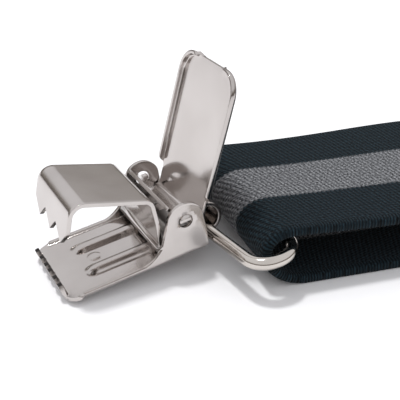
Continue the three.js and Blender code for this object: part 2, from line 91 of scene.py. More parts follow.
# ---- materials ----
class Nodes:
    """A material's node tree, with short ways to add and join its nodes."""

    def __init__(self, name, **sockets):
        self.material = bpy.data.materials.new(name)
        self.material.use_nodes = True
        self.tree = self.material.node_tree
        self.shader = self.tree.nodes["Principled BSDF"]
        for socket, value in sockets.items():
            self.shader.inputs[socket.replace("_", " ")].default_value = value

    def add(self, kind, inputs=None, **settings):
        node = self.tree.nodes.new("ShaderNode" + kind)
        for key, value in settings.items():
            setattr(node, key, value)
        for key, value in (inputs or {}).items():
            self.feed(node.inputs[key], value)
        return node

    def feed(self, socket, value):
        if isinstance(value, bpy.types.NodeSocket):
            self.tree.links.new(value, socket)
        else:
            socket.default_value = value

    def math(self, operation, a, b=0.0, c=0.0):
        return self.add("Math", {0: a, 1: b, 2: c}, operation=operation).outputs[0]

    def mix(self, factor, a, b):
        node = self.add("Mix", data_type="RGBA")
        self.feed(node.inputs[0], factor)
        self.feed(node.inputs[6], a)
        self.feed(node.inputs[7], b)
        return node.outputs[2]

    def object_noise(self, scale, detail=2.0, stretch=(1, 1, 1)):
        place = self.add("TexCoord").outputs["Object"]
        mapping = self.add("Mapping", {"Vector": place, "Scale": stretch}).outputs[0]
        return self.add("TexNoise", {"Vector": mapping, "Scale": scale, "Detail": detail}).outputs["Fac"]

    def bump(self, height, distance, strength=1.0):
        node = self.add("Bump", {"Height": height, "Distance": distance, "Strength": strength})
        self.feed(self.shader.inputs["Normal"], node.outputs[0])

    def remap(self, value, low, high, start=0.0, end=1.0):
        node = self.add("MapRange", {0: value, 1: start, 2: end, 3: low, 4: high})
        return node.outputs[0]


def metal(name, light, dark, roughness, worn):
    nodes = Nodes(name, Metallic=1.0)
    cloud = nodes.object_noise(90.0, 3.0)
    plated = nodes.mix(nodes.remap(cloud, 0, 1, 0.35, 0.65), dark, light)
    # painted shade: the marked cut edges of the teeth are mixed to near black
    edge_shade = nodes.add("Attribute", attribute_name="painted_edge_shade").outputs["Fac"]
    nodes.feed(nodes.shader.inputs["Base Color"], nodes.mix(edge_shade, plated, (0.035, 0.032, 0.03, 1)))
    fine = nodes.object_noise(900.0, 2.0)
    rough = nodes.math("ADD", nodes.remap(cloud, roughness, roughness + worn), nodes.remap(fine, 0.0, 0.03))
    nodes.feed(nodes.shader.inputs["Roughness"], rough)
    nodes.bump(nodes.object_noise(350.0, 2.0), 0.00002, 0.6)
    return nodes.material


def webbing_cloth():
    """Twill rows of small floats across the strap, a grey centre stripe and a ribbed selvedge."""
    nodes = Nodes("striped_webbing", Roughness=0.85)
    nodes.shader.inputs["Sheen Weight"].default_value = 0.04
    nodes.shader.inputs["Sheen Roughness"].default_value = 0.5
    nodes.shader.inputs["Specular IOR Level"].default_value = 0.12
    uv = nodes.add("UVMap", uv_map="webbing").outputs[0]
    in_mm = nodes.add("VectorMath", {0: uv, 3: 1 / MM}, operation="SCALE").outputs[0]
    split = nodes.add("SeparateXYZ", {0: in_mm})
    along = split.outputs[0]
    across = split.outputs[1]
    wobble = nodes.add("TexNoise", {"Vector": uv, "Scale": 1100.0, "Detail": 2.0}).outputs["Fac"]
    row_pitch = 0.95
    row_lean = 0.32
    float_pitch = 0.75
    rib_pitch = 0.65
    row = nodes.math("MULTIPLY_ADD", across, row_lean, along)
    row = nodes.math("MULTIPLY_ADD", wobble, 0.3, row)
    row_wave = nodes.math("SINE", nodes.math("MULTIPLY", row, 2 * math.pi / row_pitch))
    dot = nodes.math("MULTIPLY_ADD", row, 0.5 * float_pitch / row_pitch, across)
    dot_wave = nodes.math("SINE", nodes.math("MULTIPLY", dot, 2 * math.pi / float_pitch))
    twill = nodes.math("MULTIPLY_ADD", nodes.math("MULTIPLY_ADD", dot_wave, 0.5, row_wave), 0.33, 0.5)
    rib_wave = nodes.math("SINE", nodes.math("MULTIPLY", along, 2 * math.pi / rib_pitch))
    rib = nodes.math("MULTIPLY_ADD", rib_wave, 0.4, 0.5)
    from_middle = nodes.math("ABSOLUTE", across)
    edge = nodes.remap(from_middle, 0, 1, STRAP_WIDTH / 2 - SELVEDGE - 0.1, STRAP_WIDTH / 2 - SELVEDGE + 0.1)
    height = nodes.add("Mix", {0: edge, 2: twill, 3: rib}).outputs[0]
    ragged = nodes.math("MULTIPLY_ADD", row_wave, 0.22, from_middle)
    stripe = nodes.remap(ragged, 1, 0, STRIPE_HALF - 0.15, STRIPE_HALF + 0.15)
    # Painted highlight and shade: the stripe colours run from dark to light with the weave's relief height,
    # so raised floats and selvedge ribs are painted lighter and the hollows between them darker
    navy = nodes.mix(height, (0.001, 0.0025, 0.0045, 1), (0.010, 0.0215, 0.0285, 1))
    grey = nodes.mix(height, (0.055, 0.058, 0.064, 1), (0.225, 0.23, 0.24, 1))
    colour = nodes.mix(stripe, navy, grey)
    yarn = nodes.add("TexNoise", {"Vector": uv, "Scale": 2600.0, "Detail": 1.0}).outputs["Fac"]
    shade = nodes.remap(yarn, 0.1, 1.85, 0.3, 0.7)
    tint = nodes.add("VectorMath", {0: colour, 3: shade}, operation="SCALE").outputs[0]
    nodes.feed(nodes.shader.inputs["Base Color"], tint)
    nodes.bump(nodes.math("MULTIPLY_ADD", yarn, 0.35, height), 0.0002, 1.0)
    return nodes.material


def yoke_leather():
    nodes = Nodes("yoke_leather", Roughness=0.5)
    nodes.shader.inputs["Specular IOR Level"].default_value = 0.4
    place = nodes.add("TexCoord").outputs["Object"]
    cells = nodes.add("TexVoronoi", {"Vector": place, "Scale": 900.0}, feature="DISTANCE_TO_EDGE")
    grain = cells.outputs["Distance"]
    cloud = nodes.object_noise(60.0, 4.0)
    hide = nodes.mix(cloud, (0.012, 0.011, 0.011, 1), (0.035, 0.031, 0.029, 1))
    nodes.feed(nodes.shader.inputs["Base Color"], hide)
    nodes.feed(nodes.shader.inputs["Roughness"], nodes.remap(cloud, 0.42, 0.62))
    nodes.bump(nodes.remap(grain, 0, 1, 0.0, 0.12), 0.00012, 0.7)
    return nodes.material


def thread_material():
    nodes = Nodes("stitching_thread", Roughness=0.7)
    twist = nodes.object_noise(1500.0, 1.0, (1, 1, 3))
    dyed = nodes.mix(twist, (0.02, 0.025, 0.03, 1), (0.06, 0.07, 0.08, 1))
    nodes.feed(nodes.shader.inputs["Base Color"], dyed)
    nodes.bump(twist, 0.00005)
    return nodes.material


SHEET = metal("nickel_sheet", (0.585, 0.55, 0.53, 1), (0.53, 0.495, 0.475, 1), 0.11, 0.07)
WIRE = metal("nickel_wire", (0.66, 0.62, 0.575, 1), (0.58, 0.54, 0.50, 1), 0.07, 0.05)
STEEL = metal("spring_steel", (0.42, 0.40, 0.39, 1), (0.33, 0.31, 0.30, 1), 0.24, 0.12)
WEBBING = webbing_cloth()
LEATHER = yoke_leather()
THREAD = thread_material()


# ---- mesh work ----
def finish_piece(bm, name, material, body, slot, *nodes):
    mesh = bpy.data.meshes.new(name)
    bm.to_mesh(mesh)
    bm.free()
    piece = bpy.data.objects.new(name, mesh)
    bpy.context.scene.collection.objects.link(piece)
    mesh.materials.append(material)
    for face in mesh.polygons:
        face.use_smooth = True
    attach(piece, body)
    if nodes:
        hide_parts(*nodes)
    return piece


def ease_edges(bm, edges, width):
    bmesh.ops.bevel(
        bm, geom=edges, offset=width, segments=2, profile=0.5, affect="EDGES", clamp_overlap=True, material=-1
    )


def shade_evenly(piece):
    weighted = piece.modifiers.new("even_shading", "WEIGHTED_NORMAL")
    weighted.keep_sharp = True


def softened(node, material, body, slot, bevel=0.12):
    """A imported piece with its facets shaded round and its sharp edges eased."""
    bm = bmesh.new()
    bm.from_mesh(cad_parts[node].data)
    bmesh.ops.remove_doubles(bm, verts=bm.verts, dist=0.002 * MM)
    bmesh.ops.dissolve_limit(bm, angle_limit=math.radians(1.5), verts=bm.verts, edges=bm.edges)
    sharp = [e for e in bm.edges if len(e.link_faces) == 2 and e.calc_face_angle(0) > math.radians(32)]
    ease_edges(bm, sharp, bevel * MM)
    shade_evenly(finish_piece(bm, node + "_finished", material, body, slot, node))


# ---- pressed metal ----
def arc(cx, cz, rx, rz, start, end, steps):
    turn = [math.radians(start + (end - start) * k / steps) for k in range(steps + 1)]
    return [Vector((cx + rx * math.cos(a), cz + rz * math.sin(a))) for a in turn]


def rounded(corners, step=6.0):
    """A chain of (x, z, radius) corners as points, with each corner rounded."""
    points = []
    for i, (x, z, radius) in enumerate(corners):
        here = Vector((x, z))
        if not radius or i in (0, len(corners) - 1):
            points.append(here)
            continue
        back = (Vector(corners[i - 1][:2]) - here).normalized()
        ahead = (Vector(corners[i + 1][:2]) - here).normalized()
        half = math.acos(max(-1, min(1, back.dot(ahead)))) / 2
        centre = here + (back + ahead).normalized() * radius / math.sin(half)
        first = here + back * radius / math.tan(half) - centre
        turn = math.copysign(math.pi - 2 * half, ahead.x * back.y - ahead.y * back.x)
        steps = max(3, math.ceil(abs(math.degrees(turn)) / step))
        for k in range(steps + 1):
            points.append(Matrix.Rotation(turn * k / steps, 2) @ first + centre)
    return points


def laid_grid(rows, columns, point):
    """A grid of faces with each corner (i, j) at point(i, j)."""
    bm = bmesh.new()
    bmesh.ops.create_grid(bm, x_segments=rows - 1, y_segments=columns - 1, size=0.5)
    for v in bm.verts:
        v.co = point(round((v.co.x + 0.5) * (rows - 1)), round((v.co.y + 0.5) * (columns - 1)))
    return bm


def thicken(bm, thickness, edge=0.13):
    """Gives a surface its sheet thickness, half to each side, and eases the cut edges."""
    bmesh.ops.remove_doubles(bm, verts=bm.verts, dist=0.02)
    bm.normal_update()
    rim = [e for e in bm.edges if e.is_boundary]
    near = {v: v.co + v.normal * thickness / 2 for v in bm.verts}
    far = {v: v.co - v.normal * thickness / 2 for v in bm.verts}
    copy = bmesh.ops.duplicate(bm, geom=bm.verts[:] + bm.edges[:] + bm.faces[:])
    other = copy["vert_map"]
    for v in near:
        v.co = near[v]
        other[v].co = far[v]
    bmesh.ops.reverse_faces(bm, faces=[f for f in copy["geom"] if isinstance(f, bmesh.types.BMFace)])
    for e in rim:
        a, b = e.verts
        bm.faces.new((a, b, other[b], other[a]))
    bmesh.ops.recalc_face_normals(bm, faces=bm.faces)
    cut_edges = [e for e in bm.edges if e.calc_face_angle(0) > math.radians(50)]
    ease_edges(bm, cut_edges, edge)


def mark_painted_edge_shade(bm, inside):
    """Marks the cut edges where inside(point, normal) holds; the metal paints them near black as painted
    shade.
    """
    layer = bm.verts.layers.float.new("painted_edge_shade")
    bm.normal_update()
    for v in bm.verts:
        v[layer] = 1.0 if inside(v.co, v.normal) else 0.0


def bent_strip(line, half_width, thickness, columns=9):
    bm = laid_grid(len(line), columns, lambda i, j: Vector(
        (line[i].x, half_width * (2 * j / (columns - 1) - 1), line[i].y)
    ))
    thicken(bm, thickness)
    return bm


def round_bar(bm, x, z, radius, y0, y1, segments=24):
    turn = Matrix.Translation((x, (y0 + y1) / 2, z)) @ Matrix.Rotation(math.pi / 2, 4, "X")
    bmesh.ops.create_cone(
        bm, cap_ends=True, segments=segments, radius1=radius, radius2=radius, depth=y1 - y0, matrix=turn
    )


def add_to(bm, extra):
    mesh = bpy.data.meshes.new("joined")
    extra.to_mesh(mesh)
    extra.free()
    bm.from_mesh(mesh)
    bpy.data.meshes.remove(mesh)


def metal_piece(bm, node, material, place, body, slot):
    bmesh.ops.transform(bm, matrix=place @ Matrix.Scale(MM, 4), verts=bm.verts)
    shade_evenly(finish_piece(bm, node + "_finished", material, body, slot, node))


def tray(outline, half_width, length, edge_of, rows_in, height_of, steps=9):
    """A plate whose edge turns up: outline is (x, y) round three sides, edge_of gives (turn, length) there.

    edge_of(x, y) is the turn in degrees and the length of the turned edge; height_of(x, y) presses the plate.
    """
    bend = 0.7

    def point(i, j):
        x, y, nx, ny = outline[i]
        turn, reach = edge_of(x, y)
        start = Vector((x - nx * bend, y - ny * bend, 0))
        if j >= steps:
            middle = Vector((min(x - nx * bend, length - half_width), 0, 0))
            k = (j - steps) / rows_in
            p = start.lerp(middle, k)
            return Vector((p.x, p.y, height_of(p.x, p.y)))
        total = bend * (1 + turn / 90 * 0.57) + reach
        out, up, step = 0.0, 0.0, total / 24
        done = total * (1 - j / steps)
        at = 0.0
        while at < done - 1e-6:
            length_here = min(step, done - at)
            lean = math.radians(turn) * min(1.0, (at + length_here / 2) / (bend * math.pi / 2))
            out += math.cos(lean) * length_here
            up += math.sin(lean) * length_here
            at += length_here
        return Vector((start.x + nx * out, start.y + ny * out, up + height_of(start.x, start.y)))

    return laid_grid(len(outline), steps + rows_in + 1, point)


def three_sides(xs, half_width, length, corner, steps=12):
    """(x, y, outward x, outward y) from the rear of one side, round the front, to the rear of the other."""
    side = [(x, half_width(x), 0.0, 1.0) for x in xs if x < length - corner - 0.05]
    full = half_width(length)
    for k in range(steps + 1):
        a = math.radians(90 * (1 - k / steps))
        side.append((length - corner + corner * math.cos(a), full - corner + corner * math.sin(a),
                     math.cos(a), math.sin(a)))
    span = full - corner
    count = max(2, round(2 * span / 0.55 / 2) * 2)
    front = [(length, span * (1 - 2 * k / count), 1.0, 0.0) for k in range(1, count)]
    return side + front + [(x, -y, nx, -ny) for x, y, nx, ny in reversed(side)]


# ---- clip ----
SHEET_T = 0.8
BASE_HALF = 10.5
HINGE_TO_FRONT = 25.1
HINGE_HEIGHT = 7.7
FRONT_CORNER = 2.2
LIP_TEETH = 6
RIB_FROM_MIDDLE = 4.1
RIB_RISE = 0.8
BOSS_X = 16
BOSS_RADIUS = 1.45
BOSS_RISE = 0.22
EAR_RADIUS = 3.45
EAR_HOLE = 1.45
JAW_PIVOT = (5.2, 2.9)
JAW_HALF = 8.9
JAW_LEAN = 20.9
JAW_TOP = 14.9
JAW_DROP = 8.3
JAW_TEETH = 3
TOOTH_RISE = 2.7
TOOTH_STEEP = 2.4
JAW_SHUT = 27
LEVER_T = 0.7
LEVER_LENGTH = 28.1
LEVER_OFFSET = 4.5
LEVER_HEEL = 1.9
LEVER_FOOT = 4.1
LEVER_CORNER = 4.6
LEVER_OPEN = -114.5
LEVER_SHUT = -5.0
KNUCKLE = (-6.6, 2.2)
WIRE_RADIUS = 1.25
LOOP_DEPTH = 11.5
LOOP_DIP = 5.4
CLIP_TILT = 8.4


def make_wire():
    half = [(0, -0.15, 0), (0, -20.1, 5), (8.9, -20.1, 4), (LOOP_DEPTH, -5, 6), (LOOP_DEPTH, 0, 0)]
    near = rounded(half)
    far = [Vector((p.x, -p.y)) for p in reversed(near[:-1])]
    line = near + far
    for _ in range(2):
        cut = [q for a, b in zip(line, line[1:]) for q in (a.lerp(b, 0.25), a.lerp(b, 0.75))]
        line = [line[0], *cut, line[-1]]
    sides = 20

    def point(i, j):
        ahead = (line[min(i + 1, len(line) - 1)] - line[max(i - 1, 0)]).normalized()
        a = 2 * math.pi * j / sides
        r = WIRE_RADIUS * (0.9 if i in (0, len(line) - 1) else 1.0)
        out = Vector((-ahead.y, ahead.x)) * math.cos(a) * r
        return Vector((line[i].x + out.x, line[i].y + out.y, math.sin(a) * r))

    bm = laid_grid(len(line), sides + 1, point)
    bmesh.ops.remove_doubles(bm, verts=bm.verts, dist=0.01)
    bmesh.ops.holes_fill(bm, edges=[e for e in bm.edges if e.is_boundary], sides=0)
    bmesh.ops.recalc_face_normals(bm, faces=bm.faces)
    return bm


def ear_top(x):
    """Height of the turned-up side at x: a round-topped ear that flares out to the low side."""
    if x < EAR_RADIUS:
        return HINGE_HEIGHT + math.sqrt(max((EAR_RADIUS + 0.25) ** 2 - x * x, 0.0)) * 0.95
    if x < 5.6:
        return 8.6 - (x - EAR_RADIUS) * 2.35
    return 1.05 + 2.5 * (1 - ease_out(x, 5.6, 10.5))


def ease_out(x, start, end):
    k = min(max((x - start) / (end - start), 0.0), 1.0)
    return 1 - (1 - k) ** 2


def press_base(x, y):
    """Two long ribs and a round boss stand up out of the plate."""
    rise = 0.0
    for side in (-1, 1):
        run = smooth((x - 2.0) / 2.0) * smooth((20.5 - x) / 4.0)
        across = 1 - math.hypot(y - side * RIB_FROM_MIDDLE, max(x - 17.5, 0.0) * 0.7) / 2.0
        rise += RIB_RISE * smooth(across * 1.35) * run
    ring = math.hypot(x - BOSS_X, y)
    rise += BOSS_RISE * smooth((BOSS_RADIUS - ring) / 0.5)
    return SHEET_T / 2 + rise


def make_base():
    mid = BASE_HALF - SHEET_T / 2
    ears = [-3.72 * math.cos(math.pi * k / 22) for k in range(23)]
    rest = [4.0 + 0.32 * k for k in range(60)]
    outline = three_sides(ears + rest, lambda x: mid, HINGE_TO_FRONT - SHEET_T / 2, FRONT_CORNER)
    lip_half = BASE_HALF - FRONT_CORNER
    pitch = 2 * lip_half / LIP_TEETH

    def edge_of(x, y):
        if x < HINGE_TO_FRONT - 3.2:
            return 90, max(ear_top(x) - 1.1, 0.05)
        lip = smooth((lip_half - abs(y)) / 0.5) * smooth((x - HINGE_TO_FRONT + 1.2) / 0.5)
        notch = abs((y + lip_half) / pitch - round((y + lip_half) / pitch)) < 0.2
        low = smooth((HINGE_TO_FRONT - 2.0 - x) / 1.2)
        return 90 * low + 80 * lip, 0.05 + (0.3 if notch else 1.6) * lip

    bm = tray(outline, mid - 0.7, HINGE_TO_FRONT - SHEET_T / 2, edge_of, 28, press_base, 27)
    hole = []
    for v in bm.verts:
        reach = math.hypot(v.co.x, v.co.z - HINGE_HEIGHT)
        if abs(v.co.y) > mid - 0.2 and reach < EAR_HOLE + 0.12:
            hole.append(v)
    bmesh.ops.delete(bm, geom=hole, context="VERTS")
    rim = {v for e in bm.edges if e.is_boundary for v in e.verts if abs(v.co.y) > mid - 0.2}
    for v in [v for v in rim if math.hypot(v.co.x, v.co.z - HINGE_HEIGHT) < EAR_HOLE + 1.0]:
        out = Vector((v.co.x, 0, v.co.z - HINGE_HEIGHT)).normalized() * EAR_HOLE
        v.co = Vector((out.x, v.co.y, HINGE_HEIGHT + out.z))
    thicken(bm, SHEET_T)

    def on_teeth(p, n):
        return p.x > HINGE_TO_FRONT - 1.5 and abs(p.y) < lip_half and n.z > 0.5 and p.z > 1.5

    # the tops of the lip's teeth get painted shade
    mark_painted_edge_shade(bm, on_teeth)
    curl = arc(*KNUCKLE, 3.0, 3.0, -60, -325, 34)
    add_to(bm, bent_strip([Vector((-3.7, SHEET_T / 2)), *curl], 4.5, SHEET_T))
    return bm


def make_jaw():
    angle = math.radians(JAW_LEAN)
    rear = Vector((5.6, 13.1))
    front = rear + Vector((math.cos(angle), math.sin(angle))) * JAW_TOP
    tip = front + Vector((math.sin(angle), -math.cos(angle))) * JAW_DROP
    line = rounded([(*JAW_PIVOT, 0), (4.95, 8.2, 6), (rear.x - 0.4, rear.y, 1.8), (*front, 2.5), (*tip, 0)])
    bend_end = line[-2]
    drop = (tip - bend_end).length
    pitch = 2 * JAW_HALF / JAW_TEETH
    cuts = (0, 0.9, 1.8, 2.7, pitch - 2.4, pitch - 1.6, pitch - 0.8, pitch)
    across = sorted({round(-JAW_HALF + pitch * t + w, 4) for t in range(JAW_TEETH) for w in cuts})
    rows = line[:-1] + [None] * 5

    def point(i, j):
        y = across[j]
        if i < len(line) - 1:
            return Vector((line[i].x, y, line[i].y))
        into = (JAW_HALF - y) % pitch
        if abs(into - pitch) < 0.01:
            into = 0.0
        falling = into < TOOTH_STEEP
        part = 1 - into / TOOTH_STEEP if falling else (into - TOOTH_STEEP) / (pitch - TOOTH_STEEP)
        rise = TOOTH_RISE * part
        p = bend_end.lerp(tip, (i - len(line) + 2) / 5 * (drop - rise) / drop)
        return Vector((p.x, y, p.y))

    bm = laid_grid(len(rows), len(across), point)
    thicken(bm, SHEET_T, 0.1)
    down = (tip - bend_end).normalized()
    # the tooth ends get painted shade
    mark_painted_edge_shade(bm, lambda p, n: p.x > front.x and n.x * down.x + n.z * down.y > 0.45)
    round_bar(bm, *JAW_PIVOT, 1.1, -JAW_HALF, JAW_HALF)
    round_bar(bm, *JAW_PIVOT, 0.6, -9.9, 9.9)
    return bm


def make_lever():
    mid_z = LEVER_OFFSET - LEVER_T / 2
    foot = Vector((LEVER_HEEL, -mid_z)).normalized() * LEVER_FOOT
    line = rounded([(LEVER_LENGTH - LEVER_CORNER, mid_z, 0), (-LEVER_HEEL, mid_z, 1.1), (*foot, 0)], 10)
    lengths = [0.0]
    for a, b in zip(line, line[1:]):
        lengths.append(lengths[-1] + (b - a).length)

    def wrap(p):
        s = LEVER_LENGTH - LEVER_CORNER - p.x
        if s <= 0:
            return Vector((p.x, p.y, mid_z - p.z))
        k = max(i for i in range(len(line) - 1) if lengths[i] <= s + 1e-6)
        ahead = (line[k + 1] - line[k]).normalized()
        at = line[k] + ahead * (s - lengths[k])
        return Vector((at.x - ahead.y * p.z, p.y, at.y + ahead.x * p.z))

    def half_width(x):
        return 9.3 + 0.85 * smooth((x - 3.3) / 1.4)

    def edge_of(x, y):
        k = smooth((x - 3.6) / 1.2)
        if x > LEVER_LENGTH - 1:
            k = smooth((abs(y) - 4.3) / 1.0)
        return 90 * k, 0.55 * k

    end = LEVER_LENGTH - LEVER_CORNER - lengths[-1]
    xs = [end + k * 0.35 for k in range(200) if end + k * 0.35 < 5.5]
    xs += [5.8 + k * 0.9 for k in range(24)]
    length = LEVER_LENGTH - LEVER_T / 2
    outline = three_sides(xs, half_width, length, LEVER_CORNER - LEVER_T / 2)
    bm = tray(outline, 9.4, length, edge_of, 10, lambda x, y: 0.0)
    for v in bm.verts:
        v.co = wrap(v.co)
    thicken(bm, LEVER_T)
    for side in (-1, 1):
        lug = bmesh.new()
        tilt = Matrix.Rotation(math.atan2(foot.x, -foot.y), 4, "Y")
        size = Matrix.Diagonal((LEVER_T, 1.3, 2.4, 1))
        bmesh.ops.create_cube(lug, size=1, matrix=tilt @ Matrix.Translation((0, side * 9.85, 0)) @ size)
        ease_edges(lug, lug.edges[:], 0.12)
        add_to(bm, lug)
    return bm


def rotation(axis, degrees):
    return Matrix.Rotation(math.radians(degrees), 4, axis)


def offset(x, y, z):
    return Matrix.Translation(Vector((x, y, z)) * MM)


def clip_places(lane, closed, side, skew, roll, yaw, slide):
    """Places of the loop, clip, jaw and lever of one clip, in its strap's lane."""
    group = lane @ offset(0.3, side, 7.6) @ rotation("Z", 180 + skew) @ rotation("X", roll)
    dip = math.radians(LOOP_DIP)
    knuckle = group @ offset(LOOP_DEPTH * math.cos(dip), slide, -LOOP_DEPTH * math.sin(dip))
    to_hinge = offset(-KNUCKLE[0] - 0.45, 0, -KNUCKLE[1] + 0.75)
    clip = knuckle @ rotation("Z", yaw) @ rotation("Y", CLIP_TILT) @ to_hinge
    px, pz = JAW_PIVOT
    jaw = clip @ offset(px, 0, pz) @ rotation("Y", JAW_SHUT if closed else 0) @ offset(-px, 0, -pz)
    lever = clip @ offset(0, 0, HINGE_HEIGHT) @ rotation("Y", LEVER_SHUT if closed else LEVER_OPEN)
    return group @ rotation("Y", LOOP_DIP), clip, jaw, lever


# ---- straps ----
def fold_line():
    apex = FOLD_APEX_X + HALF
    lower = arc(apex + 9, FOLD_APEX_HEIGHT, 9, FOLD_APEX_HEIGHT - HALF, 270, 180, 9)
    upper = arc(apex + 5, FOLD_APEX_HEIGHT, 5, FOLD_HEIGHT - HALF - FOLD_APEX_HEIGHT, 180, 90, 8)
    return lower + upper[1:]


def turn_line(x, z0, z1, side):
    return arc(x, (z0 + z1) / 2, (z1 - z0) / 2 * 1.25 * side, (z1 - z0) / 2, -90, 90, 8)


def stack_line(levels, last_x):
    line = []
    for i, z in enumerate(levels[:-1]):
        side = 1 if i % 2 == 0 else -1
        line += turn_line(STACK_END - 3 if side > 0 else STACK_START + 3, z, levels[i + 1], side)
    return line + [Vector((last_x, levels[-1]))]


def front_strap_line(runs, last_x, adjuster_x):
    wrap = ADJUSTER_BAR + GAP + HALF
    bar_z = HALF + wrap
    tail = HALF + STRAP_THICKNESS + GAP
    over = ADJUSTER_FLOOR + GAP + HALF
    pitch = (FRONT_RUNS - 2) * LAYER_PITCH / (runs - 2)
    levels = [HALF + i * pitch for i in range(runs - 1)] + [LAST_LEVEL]
    top = FOLD_HEIGHT - HALF
    return [
        Vector((adjuster_x - 27, tail)),
        Vector((adjuster_x - 9, tail)),
        Vector((adjuster_x - 6, tail + 0.7)),
        Vector((adjuster_x - 3, bar_z + wrap - 0.5)),
        *arc(adjuster_x, bar_z, wrap, wrap, 90, -90, 8),
        *fold_line(),
        Vector((adjuster_x - 48, top - 0.9)),
        Vector((adjuster_x - 38, top - 1.2)),
        Vector((adjuster_x - 28, top - 1.5)),
        Vector((adjuster_x - 21, top - 1.8)),
        Vector((adjuster_x - 14, over + 0.2)),
        Vector((adjuster_x - 10, over)),
        Vector((adjuster_x + 12, over)),
        Vector((adjuster_x + 17, over - 1)),
        Vector((adjuster_x + 25, HALF + 2.4)),
        Vector((adjuster_x + 30, HALF + 0.5)),
        Vector((adjuster_x + 36, HALF)),
        *stack_line(levels, last_x),
    ]


def back_strap_line(length, near_x, far_x):
    middle = (HALF + LAST_LEVEL) / 2
    tail = HALF + STRAP_THICKNESS
    return [
        Vector((44, tail + GAP)),
        Vector((27, tail + GAP)),
        Vector((21, tail + 1.2)),
        Vector((11, FOLD_HEIGHT - HALF - 2.4)),
        *reversed(fold_line()),
        *turn_line(far_x, HALF, middle, 1),
        *turn_line(near_x, middle, LAST_LEVEL, -1),
        Vector((length, LAST_LEVEL)),
    ]


def stations(line):
    """Points at an even spacing along a line, with its corners rounded off."""
    for _ in range(3):
        soft = [line[0]]
        for a, b in zip(line, line[1:]):
            if (b - a).length > 1.5:
                soft += [a.lerp(b, 0.5 / (b - a).length), b.lerp(a, 0.5 / (b - a).length)]
            else:
                soft += [a.lerp(b, 0.25), a.lerp(b, 0.75)]
        line = soft + [line[-1]]
    points = [line[0]]
    need = STATION
    for a, b in zip(line, line[1:]):
        length = (b - a).length
        done = 0.0
        while length - done > need:
            done += need
            points.append(a.lerp(b, done / length))
            need = STATION
        need -= length - done
    return points


def section():
    """The webbing's section as (across, up) points: flat faces and rounded selvedges."""
    flat = STRAP_WIDTH / 2 - 0.5
    across = [-flat + 2 * flat * k / 28 for k in range(29)]
    top = [(y, HALF) for y in across]
    bottom = [(y, -HALF) for y in reversed(across)]
    bulge = [(flat + 0.5 * math.cos(a), HALF * math.sin(a)) for a in (1.0, 0.35, -0.35, -1.0)]
    return top + bulge + bottom + [(-y, -z) for y, z in bulge] + top[:1]


def strap(name, line, place, settle):
    points = stations(line)
    outline = section()
    last_i, last_j = len(points) - 1, len(outline) - 1
    bm = bmesh.new()
    bmesh.ops.create_grid(bm, x_segments=last_i, y_segments=last_j, size=0.5)
    uv = bm.loops.layers.uv.new("webbing")
    cell = {v: (round((v.co.x + 0.5) * last_i), round((v.co.y + 0.5) * last_j)) for v in bm.verts}
    for face in bm.faces:
        for loop in face.loops:
            i, j = cell[loop.vert]
            loop[uv].uv = (i * STATION * MM, outline[j][0] * MM)
    for v, (i, j) in cell.items():
        ahead = points[min(i + 1, last_i)] - points[max(i - 1, 0)]
        normal = Vector((-ahead.y, ahead.x)).normalized()
        across, up = outline[j]
        at = Vector((points[i].x + normal.x * up, across, points[i].y + normal.y * up))
        v.co = place @ (settle(at) * MM)
    bmesh.ops.remove_doubles(bm, verts=bm.verts, dist=0.01 * MM)
    bmesh.ops.holes_fill(bm, edges=[e for e in bm.edges if e.is_boundary], sides=0)
    bmesh.ops.recalc_face_normals(bm, faces=bm.faces)
    piece = finish_piece(bm, name + "_webbing", WEBBING, "webbing", "striped_webbing", name)
    return piece


def settle_left(p):
    start = LEFT_ADJUSTER_X - ADJUSTER_LENGTH / 2
    upper = p.x < start and p.z > FOLD_APEX_HEIGHT
    bump = smooth((p.x - 4) / (FAR_EDGE_LIFT_X - 4)) * smooth((start - 2 - p.x) / 13) if upper else 0
    skew = math.tan(math.radians(FOLD_SKEW)) * smooth(1 - (p.x - FOLD_APEX_X) / FOLD_SKEW_REACH)
    return Vector((p.x - p.y * skew, p.y, p.z + FAR_EDGE_LIFT * bump * (p.y / STRAP_WIDTH + 0.5)))


def settle_back(p):
    if p.z <= LAST_LEVEL - HALF - 0.01:
        return p
    shift = LANE_SPACING / 2 * smooth((p.x - BACK_NEAR_X) / (BACK_FAR_X - BACK_NEAR_X))
    return Vector((p.x, p.y - shift, p.z))


# The strap lanes: the left one starts at its fold, the other two are turned round.
left_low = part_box("left_front_strap")[0]
right_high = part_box("right_front_strap")[1]
lane_y = left_low.y + STRAP_WIDTH / 2 * MM
left_place = Matrix.Translation((right_high.x + (FOLD_APEX_X - 2 * MIDDLE_X) * MM, lane_y, 0))
turned = Matrix.Rotation(math.pi, 4, "Z")
right_place = Matrix.Translation((right_high.x + FOLD_APEX_X * MM, lane_y + LANE_SPACING * MM, 0)) @ turned
back_place = Matrix.Translation((right_high.x + FOLD_APEX_X * MM, lane_y, 0)) @ turned

left_line = front_strap_line(FRONT_RUNS, YOKE_START + END_OVERLAP, LEFT_ADJUSTER_X)
right_end = 2 * MIDDLE_X - YOKE_START - END_OVERLAP
right_line = front_strap_line(FRONT_RUNS - 1, right_end, RIGHT_ADJUSTER_X)
back_line = back_strap_line(2 * MIDDLE_X - YOKE_END + END_OVERLAP, BACK_NEAR_X, BACK_FAR_X)
strap("left_front_strap", left_line, left_place, settle_left)
strap("right_front_strap", right_line, right_place, lambda p: p)
strap("back_strap", back_line, back_place, settle_back)

